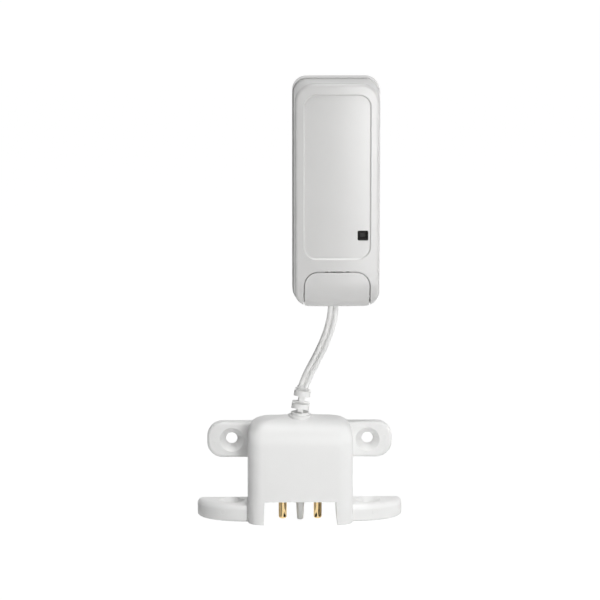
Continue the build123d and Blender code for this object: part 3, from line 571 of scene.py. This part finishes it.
class Modelling:
    """A mesh of small shapes, placed in millimetres, that becomes one piece of the model."""

    def __init__(self, name: str) -> None:
        """Starts an empty mesh.

        Args:
            name: the piece's name.
        """
        self.name = name
        self.mesh = bmesh.new()

    def block(self, low: Point, high: Point) -> None:
        """Adds a box.

        Args:
            low: its lowest corner.
            high: its highest corner.
        """
        size, middle = Vector(high) - Vector(low), (Vector(high) + Vector(low)) / 2
        place = Matrix.Translation(middle * MM) @ Matrix.Diagonal((*(size * MM), 1.0))
        bmesh.ops.create_cube(self.mesh, size=1.0, matrix=place)

    def bead(self, place: Point, radius: float, rise: float) -> None:
        """Adds a bead of solder that faces -Y.

        Args:
            place: its middle, on the board's face.
            radius: how far it spreads.
            rise: how far it stands out.
        """
        shape = Matrix.Diagonal((radius * MM, rise * MM, radius * MM, 1.0))
        move = Matrix.Translation(Vector(place) * MM)
        bmesh.ops.create_uvsphere(self.mesh, u_segments=16, v_segments=8, radius=1.0, matrix=move @ shape)

    def ring(self, place: Point, way: Point, radius: float, thickness: float, steps: int = 40,
             sides: int = 8) -> None:
        """Adds a thin ring that lies half sunk in a face.

        Args:
            place: its middle, on the face.
            way: the way the face looks.
            radius: from its middle to its crest.
            thickness: of the ring, across its section.
            steps: segments round the ring.
            sides: segments round its section.
        """
        turn = Vector(way).to_track_quat("Z", "Y").to_matrix().to_4x4()
        move = Matrix.Translation(Vector(place) * MM) @ turn
        loops = []
        for step in range(steps):
            angle = 2 * math.pi * step / steps
            loop = []
            for side in range(sides):
                slope = 2 * math.pi * side / sides
                reach, rise = radius + thickness / 2 * math.cos(slope), thickness / 2 * math.sin(slope)
                point = Vector((reach * math.cos(angle), reach * math.sin(angle), rise))
                loop.append(self.mesh.verts.new(move @ (point * MM)))
            loops.append(loop)
        for step in range(steps):
            near, far = loops[step], loops[(step + 1) % steps]
            for side in range(sides):
                after = (side + 1) % sides
                self.mesh.faces.new((near[side], near[after], far[after], far[side]))

    def place(self, finish: bpy.types.Material, slot: str, smooth: bool) -> None:
        """Ends the mesh and lets it ride on the base.

        Args:
            finish: its material.
            slot: the record's slot of that finish; not used.
            smooth: whether its faces are shaded as one smooth skin.
        """
        bmesh.ops.recalc_face_normals(self.mesh, faces=self.mesh.faces)
        data = bpy.data.meshes.new(self.name)
        self.mesh.to_mesh(data)
        self.mesh.free()
        for polygon in data.polygons:
            polygon.use_smooth = smooth
        data.materials.append(finish)
        piece = bpy.data.objects.new(self.name, data)
        bpy.context.scene.collection.objects.link(piece)
        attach(piece, "base")
        log.info("%s has %d faces", self.name, len(data.polygons))


@dataclass
class Transmitter:
    """The upper case: base, front cover, wiring door and light window."""

    case: Finish = MouldedPlastic("satin_case_plastic", (0.622, 0.619, 0.612), 0.31, depth=0.001)
    window: Finish = SmokedPlastic("smoked_window_plastic", (0.03, 0.029, 0.028), 0.15)
    shell_nodes: tuple[str, ...] = ("rear_base", "front_cover", "wiring_door")

    def build(self, frame: dict[str, Any]) -> None:
        """Dresses the case.

        Args:
            frame: the loaded frame.
        """
        plastic = self.case.make()
        for node in self.shell_nodes:
            dress(frame, node, plastic)
        dress(frame, "led_window", self.window.make())


@dataclass
class Electronics:
    """What shows when the cover is off, and the small pieces inside the probe.

    Chips and parts are placed across and up, in the frame's own millimetres. The chips' places name their
    heights alone, because their middles line up.
    """

    board: Finish = BoardLaminate("board_laminate", (0.012, 0.10, 0.035), (0.03, 0.19, 0.06))
    resin: Finish = MouldedPlastic("black_chip_resin", (0.018, 0.018, 0.02), 0.5, grain=0.08, depth=0.002,
                                   tone=0.05)
    sheet: Finish = BareMetal("spring_contact_sheet", (0.68, 0.66, 0.62), 0.3)
    tin: Finish = BareMetal("tinned_shield", (0.62, 0.63, 0.64), 0.38, Lay.ALONG_X)
    copper: Finish = BareMetal("copper_antenna_wire", (0.86, 0.50, 0.32), 0.25, Lay.ALONG_X)
    steel: Finish = BareMetal("zinc_screw", (0.72, 0.72, 0.70), 0.24)
    lamp: Finish = MouldedPlastic("pale_lamp_resin", (0.72, 0.66, 0.5), 0.2, grain=0.3, depth=0.001,
                                  tone=0.02)
    plunger: Finish = MouldedPlastic("white_plunger_plastic", (0.7, 0.7, 0.66), 0.4)
    button: Finish = MouldedPlastic("blue_button_plastic", (0.03, 0.09, 0.32), 0.38)
    terminal: Finish = MouldedPlastic("green_terminal_plastic", (0.02, 0.22, 0.07), 0.42)
    wire: Finish = SoftVinyl("pale_wire_vinyl", (0.6, 0.6, 0.58), 0.4)
    potting: Finish = MouldedPlastic("dark_potting_resin", (0.03, 0.03, 0.03), 0.3, grain=2.0, depth=0.02,
                                     tone=0.1)
    sleeve_blue: Colour = (0.02, 0.03, 0.07)
    band_grey: Colour = (0.5, 0.5, 0.48)
    band_height: float = 5.0
    square_chips: tuple[float, ...] = (85.9, 100.1)
    square_pitch: float = 0.8
    narrow_chips: tuple[float, ...] = (93.0, 107.2)
    narrow_pitch: float = 1.0
    narrow_half: float = 0.8
    upright_parts: tuple[tuple[float, float], ...] = (
        (18.7, 84.6), (18.7, 86.6), (18.7, 88.8), (18.7, 92.0), (18.7, 94.6), (18.7, 98.2), (18.7, 100.4),
        (18.7, 102.6), (18.7, 106.0), (18.7, 108.4), (15.1, 114.8), (15.1, 116.8), (15.1, 118.8),
        (16.5, 114.8), (16.5, 118.8), (18.6, 118.9), (18.6, 121.0))
    level_parts: tuple[tuple[float, float], ...] = (
        (19.4, 71.2), (21.4, 71.2), (23.4, 71.2), (19.4, 73.2), (23.4, 73.2), (19.4, 75.2), (21.4, 75.2),
        (23.4, 75.2), (21.2, 90.4), (23.3, 90.4), (21.2, 95.7), (23.3, 95.7), (21.2, 104.7), (23.3, 104.7))
    capacitor_every: int = 3
    part_length: float = 1.2
    part_width: float = 0.6
    part_rise: float = 0.4
    part_end: float = 0.24
    part_step: float = 0.05
    leg_width: float = 0.3
    leg_reach: float = 0.5
    leg_rise: float = 0.5
    leg_sheet: float = 0.12
    switch_inset: float = 1.2
    bead_radius: float = 0.4
    bead_rise: float = 0.25

    def build(self, frame: dict[str, Any]) -> None:
        """Dresses the electronics and adds the small parts that the solids leave out.

        Args:
            frame: the loaded frame.
        """
        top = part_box("battery")[1][2] / MM
        sleeve = CellSleeve("shrunk_cell_sleeve", self.sleeve_blue, self.band_grey,
                            low=top - 2 * self.band_height, high=top - self.band_height)
        wearers: list[tuple[Finish, tuple[str, ...]]] = [
            (self.board, ("circuit_board", "sensor_board")),
            (self.resin, ("board_chips", "tamper_switch", "enrol_switch", "sensor_chip")),
            (self.sheet, ("battery_leaf_contact", "battery_plate_contact")),
            (self.tin, ("radio_shield",)),
            (self.copper, ("antenna",)),
            (self.steel, ("board_screws", "terminal_screws")),
            (self.lamp, ("status_led",)),
            (self.plunger, ("tamper_plunger",)),
            (self.button, ("enrol_button",)),
            (self.terminal, ("terminal_block",)),
            (self.wire, ("cord_leads", "sensor_wires")),
            (self.potting, ("potting_fill",)),
            (sleeve, ("battery",)),
        ]
        made = {}
        for finish, nodes in wearers:
            made[finish.name] = material = finish.make()
            for node in nodes:
                dress(frame, node, material)
        self._small_parts(made[self.resin.name], made[self.lamp.name], made[self.tin.name])
        self._legs(made[self.tin.name])

    def _small_parts(self, dark: bpy.types.Material, pale: bpy.types.Material,
                     tin: bpy.types.Material) -> None:
        """Adds the resistors and capacitors, with their tinned ends.

        Args:
            dark: the resistors' finish.
            pale: the capacitors' finish.
            tin: the finish of their ends.
        """
        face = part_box("circuit_board")[0][1] / MM
        resistors, capacitors = Modelling("board_resistors"), Modelling("board_capacitors")
        ends = Modelling("part_ends")
        half = self.part_length / 2
        inner, side = half - self.part_end, self.part_width / 2
        places = [(x, z, True) for x, z in self.upright_parts] + [(x, z, False) for x, z in self.level_parts]
        for number, (x, z, upright) in enumerate(places):
            body = capacitors if number % self.capacitor_every == 1 else resistors
            for kind, start, stop, step in ((ends, -half, -inner, 0.0), (body, -inner, inner, self.part_step),
                                            (ends, inner, half, 0.0)):
                wide, front = side - step, face - self.part_rise + step
                if upright:
                    kind.block((x - wide, front, z + start), (x + wide, face, z + stop))
                else:
                    kind.block((x + start, front, z - wide), (x + stop, face, z + wide))
        resistors.place(dark, "chip_resin", False)
        capacitors.place(pale, "led_resin", False)
        ends.place(tin, "shield_tin", False)

    def _legs(self, tin: bpy.types.Material) -> None:
        """Adds the legs of the chips and switches, and the solder on the switches' legs.

        Args:
            tin: the legs' finish.
        """
        low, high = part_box("board_chips")
        left, right, face = low[0] / MM, high[0] / MM, high[1] / MM
        middle, half = (left + right) / 2, (right - left) / 2
        legs, solder = Modelling("chip_legs"), Modelling("solder_beads")
        for level in self.square_chips:
            for step in (number * self.square_pitch for number in range(-2, 3)):
                for way in (-1, 1):
                    self._leg(legs, middle + way * half, level + step, face, (way, 0))
                    self._leg(legs, middle + step, level + way * half, face, (0, way))
        for level in self.narrow_chips:
            for step in (number * self.narrow_pitch for number in range(-1, 2)):
                for way in (-1, 1):
                    self._leg(legs, middle + step, level + way * self.narrow_half, face, (0, way))
        for switch in ("tamper_switch", "enrol_switch"):
            low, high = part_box(switch)
            for side, way in ((low[0] / MM, -1), (high[0] / MM, 1)):
                for level in (low[2] / MM + self.switch_inset, high[2] / MM - self.switch_inset):
                    self._leg(legs, side, level, face, (way, 0))
                    solder.bead((side + way * self.leg_reach, face, level), self.bead_radius, self.bead_rise)
        legs.place(tin, "shield_tin", False)
        solder.place(tin, "shield_tin", True)

    def _leg(self, legs: Modelling, x: float, z: float, face: float, way: tuple[int, int]) -> None:
        """Adds one bent leg: an upright at the body's side and a foot on the board.

        Args:
            legs: the mesh of all the legs.
            x: where the leg leaves the body, across.
            z: where it leaves the body, up.
            face: the board's front face.
            way: the way it points, across and up.
        """
        wide = self.leg_width / 2
        for reach, rise in ((self.leg_sheet, self.leg_rise), (self.leg_reach, self.leg_sheet)):
            across, upward = [sorted((0.0, reach * part)) if part else [-wide, wide] for part in way]
            legs.block((x + across[0], face - rise, z + upward[0]), (x + across[1], face, z + upward[1]))


@dataclass
class Probe:
    """The floor probe: housing, carrier, pins and strain relief."""

    housing: Finish = MouldedPlastic("satin_probe_plastic", (0.865, 0.865, 0.857), 0.42)
    carrier: Finish = MouldedPlastic("grey_carrier_plastic", (0.68, 0.68, 0.665), 0.45)
    pin: Finish = BareMetal("gold_plate", (0.90, 0.68, 0.36), 0.09, Lay.ROUND_THE_PIN)
    relief: Finish = SoftVinyl("white_relief_vinyl", (0.84, 0.84, 0.83), 0.46, wave=2.4, depth=0.001)
    ear_marks: tuple[Point, ...] = ((-31.1, -4.0, 0.3), (31.1, -4.0, 0.6))
    ear_way: Point = (0.0, -1.0, 0.0)
    foot_marks: tuple[tuple[Point, Point], ...] = (((-28.48, -13.22, -24.91), (-0.363, -0.932, 0.0)),
                                                   ((27.6, -13.54, -25.0), (0.336, -0.942, 0.0)))
    mark_radius: float = 1.05
    mark_thickness: float = 0.16

    def build(self, frame: dict[str, Any]) -> None:
        """Dresses the probe and adds the faint round marks that the mould left on its ears and feet.

        Args:
            frame: the loaded frame.
        """
        plastic = self.housing.make()
        dress(frame, "sensor_housing", plastic)
        marks = Modelling("mould_marks")
        for place, way in [(place, self.ear_way) for place in self.ear_marks] + list(self.foot_marks):
            marks.ring(place, way, self.mark_radius, self.mark_thickness)
        marks.place(plastic, "probe_plastic", True)
        carrier = self.carrier.make()
        for node in ("probe_carrier", "cord_anchor"):
            dress(frame, node, carrier)
        gold = self.pin.make()
        for node in ("probe_pin_left", "probe_pin_right"):
            dress(frame, node, gold)
        dress(frame, "strain_relief", self.relief.make())


@dataclass
class TwinCord:
    """Flat twin cord between the case and the probe, whose two lobes meet in a groove."""

    vinyl: Finish = SoftVinyl("white_cord_vinyl", (0.86, 0.86, 0.85), 0.44, wave=2.4, depth=0.001)
    width: float = 3.9
    thickness: float = 2.0
    lobe_steps: int = 14
    route_steps: int = 24
    route_order: int = 3
    length: float = 36.0
    route: list[Point] = field(default_factory=lambda: [
        (12.3, 5.0, 54.1), (12.3, 5.0, 50.0), (11.9, 5.1, 45.8), (10.8, 5.5, 41.4), (9.0, 6.1, 36.8),
        (6.6, 6.9, 31.8), (4.1, 7.7, 27.3), (2.219, 8.202, 23.532), (1.175, 8.74, 20.664)])

    def build(self, frame: dict[str, Any]) -> None:
        """Models the cord in place of its plain solid.

        Args:
            frame: the loaded frame.
        """
        path = self._follow_route()
        cord = self._mesh_along(path)
        cord.data.materials.append(self.vinyl.make())
        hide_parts("sensor_cord")
        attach(cord, "base")
        log.info("cord of %.1f mm made", self.length)

    def _follow_route(self) -> list[Vector]:
        """Reads the points of a smooth NURBS line through the cord's route.

        Returns:
            The points in metres, from the case down to the probe.
        """
        curve = bpy.data.curves.new("cord_route", "CURVE")
        curve.dimensions = "3D"
        curve.resolution_u = self.route_steps
        spline = curve.splines.new("NURBS")
        spline.points.add(len(self.route) - 1)
        for point, (x, depth, z) in zip(spline.points, self.route):
            point.co = (x * MM, -depth * MM, z * MM, 1.0)
        spline.order_u = self.route_order
        spline.use_endpoint_u = True
        line = bpy.data.objects.new("cord_route", curve)
        bpy.context.scene.collection.objects.link(line)
        bpy.context.view_layer.update()
        mesh = bpy.data.meshes.new_from_object(line.evaluated_get(bpy.context.evaluated_depsgraph_get()))
        points = [vertex.co.copy() for vertex in mesh.vertices]
        bpy.data.objects.remove(line)
        bpy.data.curves.remove(curve)
        bpy.data.meshes.remove(mesh)
        return points

    def _section(self) -> list[tuple[float, float]]:
        """The cord's outline, seen along it: two lobes.

        Returns:
            Points round the outline, in millimetres across and through the cord.
        """
        radius = self.thickness / 2
        middle = self.width / 2 - radius
        meet = math.acos(middle / radius)
        outline = []
        for side, start in ((1, -math.pi + meet), (-1, meet)):
            for step in range(self.lobe_steps + 1):
                turn = start + (2 * math.pi - 2 * meet) * step / self.lobe_steps
                outline.append((side * middle + radius * math.cos(turn), radius * math.sin(turn)))
        return outline

    def _mesh_along(self, path: list[Vector]) -> bpy.types.Object:
        """Sweeps the outline along a path.

        Args:
            path: points in metres.

        Returns:
            The cord's object.
        """
        outline = self._section()
        mesh = bmesh.new()
        rings = []
        for place, point in enumerate(path):
            ahead = path[min(place + 1, len(path) - 1)] - path[max(place - 1, 0)]
            along = ahead.normalized()
            across = (Vector((1, 0, 0)) - along * along.x).normalized()
            through = along.cross(across)
            rings.append([mesh.verts.new(point + across * (u * MM) + through * (v * MM)) for u, v in outline])
        for upper, lower in zip(rings, rings[1:]):
            for near in range(len(outline)):
                far = (near + 1) % len(outline)
                mesh.faces.new((upper[near], upper[far], lower[far], lower[near]))
        mesh.faces.new(rings[0])
        mesh.faces.new(list(reversed(rings[-1])))
        bmesh.ops.recalc_face_normals(mesh, faces=mesh.faces)
        data = bpy.data.meshes.new("twin_cord")
        mesh.to_mesh(data)
        mesh.free()
        for polygon in data.polygons:
            polygon.use_smooth = len(polygon.vertices) == 4
        cord = bpy.data.objects.new("twin_cord", data)
        bpy.context.scene.collection.objects.link(cord)
        return cord


@dataclass(frozen=True)
class SoftBox:
    """One rectangular lamp that looks at the object.

    Attributes:
        name: the lamp's name.
        azimuth: degrees from the front towards the right.
        elevation: degrees above level.
        distance: from the point that it looks at, in metres.
        width: its width, in metres.
        height: its height, in metres.
        radiance: brightness of its face.
        mirrored: whether glossy surfaces mirror it.
    """

    name: str
    azimuth: float
    elevation: float
    distance: float
    width: float
    height: float
    radiance: float
    mirrored: bool = True

    def hang(self, aim: Vector) -> None:
        """Hangs the lamp.

        Args:
            aim: the point that it looks at, in metres.
        """
        turn, rise = math.radians(self.azimuth), math.radians(self.elevation)
        level = math.cos(rise)
        back = Vector((math.sin(turn) * level, -math.cos(turn) * level, math.sin(rise)))
        light = bpy.data.lights.new(self.name, "AREA")
        light.shape = "RECTANGLE"
        light.size = self.width
        light.size_y = self.height
        light.energy = self.radiance * math.pi * self.width * self.height
        lamp = bpy.data.objects.new(self.name, light)
        lamp.location = aim + back * self.distance
        lamp.rotation_euler = back.to_track_quat("Z", "Y").to_euler()
        lamp.visible_camera = False
        lamp.visible_glossy = self.mirrored
        bpy.context.scene.collection.objects.link(lamp)


@dataclass(frozen=True)
class Card:
    """One flat card just over the floor that only reflections see: gold and window keep their darks.

    Attributes:
        name: the card's name.
        tone: how light its paper is.
        outline: its corners across and in depth, in millimetres.
        rise: its height over the floor, in millimetres.
    """

    name: str
    tone: float
    outline: tuple[tuple[float, float], ...]
    rise: float = 0.2

    def lay(self) -> None:
        """Lays the card."""
        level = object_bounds()[0][2] + self.rise * MM
        data = bpy.data.meshes.new(self.name)
        points = [(x * MM, y * MM, level) for x, y in self.outline]
        data.from_pydata(points, [], [tuple(range(len(points)))])
        card = bpy.data.objects.new(self.name, data)
        bpy.context.scene.collection.objects.link(card)
        for rays in ("camera", "diffuse", "transmission", "shadow", "volume_scatter"):
            setattr(card, f"visible_{rays}", False)
        material = bpy.data.materials.new(f"{self.name}_paper")
        graph = Graph(material)
        graph.surface(graph.add("ShaderNodeBsdfDiffuse", {}, {"Color": rgba(WHITE, self.tone)}))
        data.materials.append(material)
        card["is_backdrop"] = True


@dataclass
class Studio:
    """Plain pale floor, white surroundings, soft lamps, cards and the camera.

    Attributes:
        camera_place: where the camera stands, in millimetres.
        camera_aim: the point that camera and lamps look at.
        lens: focal length, in millimetres.
        sensor: width of the sensor, in millimetres.
        nearest: nearest distance that the camera sees, in metres.
        farthest: farthest distance that it sees.
        floor_half: half the floor's side, in metres.
        floor_tone: how light the floor's paint is.
        floor_glow: share of the floor's look that is plain white to the camera.
        floor_strength: strength of that white.
        ambient: strength of the world's light.
        room: brightness of the room before the object, as reflections see it.
        cards: the cards on the floor.
        lamps: the lamps.
    """

    camera_place: Point = (-21.886, -1100.27, 249.51)
    camera_aim: Point = (0.0, -10.0, 53.3)
    lens: float = 183.0
    sensor: float = 36.0
    nearest: float = 0.05
    farthest: float = 20.0
    floor_half: float = 3.0
    floor_tone: float = 0.8
    floor_glow: float = 0.9
    floor_strength: float = 1.085
    ambient: float = 0.02
    room: float = 0.12
    cards: tuple[Card, ...] = (
        Card("dark_card", 0.03, ((9.5, -28.0), (10.5, -13.5), (140.0, -14.0), (140.0, -170.0), (90.0, -130.0),
                                 (23.0, -50.0))),
        Card("small_dark_card", 0.03, ((-4.8, -19.5), (-2.5, -13.6), (3.9, -13.6), (3.9, -25.0),
                                       (-1.5, -25.0))),
        Card("far_dark_card", 0.03, ((-40.0, -560.0), (130.0, -560.0), (160.0, -950.0), (-60.0, -950.0))),
        Card("grey_card", 0.42, ((-9.5, -28.0), (-21.0, -54.0), (-66.0, -140.0), (-140.0, -170.0),
                                 (-140.0, -14.0), (-10.5, -13.5))),
    )
    lamps: tuple[SoftBox, ...] = (
        SoftBox("near_strip", azimuth=18.0, elevation=6.0, distance=0.4, width=0.12, height=0.17,
                radiance=11.0),
        SoftBox("low_panel", azimuth=19.0, elevation=-9.0, distance=0.42, width=0.12, height=0.1,
                radiance=0.5),
        SoftBox("tall_strip", azimuth=14.5, elevation=18.0, distance=0.6, width=0.17, height=0.42,
                radiance=1.0),
        SoftBox("overhead_panel", azimuth=15.0, elevation=74.0, distance=1.2, width=0.6, height=0.6,
                radiance=7.2),
        SoftBox("right_panel", azimuth=93.0, elevation=2.0, distance=0.9, width=0.3, height=0.6,
                radiance=4.6),
        SoftBox("back_panel", azimuth=180.0, elevation=8.0, distance=3.2, width=2.6, height=2.1,
                radiance=2.4, mirrored=False),
    )

    def build(self) -> None:
        """Sets up the whole studio."""
        scene = bpy.context.scene
        scene.view_settings.view_transform = "Standard"
        self._place_camera()
        self._lay_floor()
        for card in self.cards:
            card.lay()
        self._fill_world()
        for lamp in self.lamps:
            lamp.hang(Vector(self.camera_aim) * MM)
        log.info("studio with %d lamps and %d cards", len(self.lamps), len(self.cards))

    def _place_camera(self) -> None:
        """Places the camera where the photograph was taken from."""
        data = bpy.data.cameras.new("photo_camera")
        data.lens = self.lens
        data.sensor_width = self.sensor
        data.clip_start = self.nearest
        data.clip_end = self.farthest
        camera = bpy.data.objects.new("photo_camera", data)
        place, aim = Vector(self.camera_place) * MM, Vector(self.camera_aim) * MM
        camera.location = place
        camera.rotation_euler = (place - aim).to_track_quat("Z", "Y").to_euler()
        bpy.context.scene.collection.objects.link(camera)
        bpy.context.scene.camera = camera

    def _lay_floor(self) -> None:
        """Lays the pale floor under the probe's feet. It keeps the shadow, and looks white to the camera."""
        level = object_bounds()[0][2]
        mesh = bmesh.new()
        bmesh.ops.create_grid(mesh, x_segments=1, y_segments=1, size=self.floor_half)
        data = bpy.data.meshes.new("studio_floor")
        mesh.to_mesh(data)
        mesh.free()
        floor = bpy.data.objects.new("studio_floor", data)
        floor.location = (0.0, 0.0, level)
        bpy.context.scene.collection.objects.link(floor)
        material = bpy.data.materials.new("pale_floor")
        graph = Graph(material)
        matt = graph.add("ShaderNodeBsdfDiffuse", {}, {"Color": rgba(WHITE, self.floor_tone)})
        glow = graph.add("ShaderNodeEmission", {}, {"Color": rgba(WHITE), "Strength": self.floor_strength})
        camera, reflected = self._rays(graph)
        mix = graph.add("ShaderNodeMixShader", {}, {
            0: (camera + reflected) * self.floor_glow, 1: matt.outputs[0], 2: glow.outputs[0]})
        graph.surface(mix)
        data.materials.append(material)
        floor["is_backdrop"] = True

    @staticmethod
    def _rays(graph: Graph) -> tuple[Signal, Signal]:
        """Kinds of rays.

        Args:
            graph: the graph that asks.

        Returns:
            1 for rays from the camera, and 1 for reflected or refracted ones.
        """
        rays = graph.add("ShaderNodeLightPath")
        camera = Signal(graph, rays.outputs["Is Camera Ray"])
        glossy = Signal(graph, rays.outputs["Is Glossy Ray"])
        refracted = Signal(graph, rays.outputs["Is Transmission Ray"])
        return camera, glossy + refracted

    def _fill_world(self) -> None:
        """Fills the world: white to the camera and behind the object in reflections, and dim as a light."""
        world = bpy.data.worlds.new("studio_white")
        bpy.context.scene.world = world
        graph = Graph(world)
        camera, reflected = self._rays(graph)
        seen = graph.add("ShaderNodeTexCoord").outputs["Generated"]
        way = graph.add("ShaderNodeSeparateXYZ", {}, {0: seen})
        behind = Signal(graph, way.outputs["Y"]).above(0.0)
        mirrored = behind * (1.0 - self.room) + self.room
        strength = camera + reflected * mirrored + (1.0 - camera - reflected) * self.ambient
        sky = graph.add("ShaderNodeBackground", {}, {"Color": rgba(WHITE), "Strength": strength})
        output = graph.add("ShaderNodeOutputWorld")
        graph.tree.links.new(sky.outputs[0], output.inputs["Surface"])


def main() -> None:
    """Builds the classes in order."""
    logging.basicConfig(level=logging.INFO, format="%(name)s: %(message)s")
    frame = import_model()
    Studio().build()
    TwinCord().build(frame)
    Transmitter().build(frame)
    Probe().build(frame)
    Electronics().build(frame)


if __name__ == "__main__":
    main()
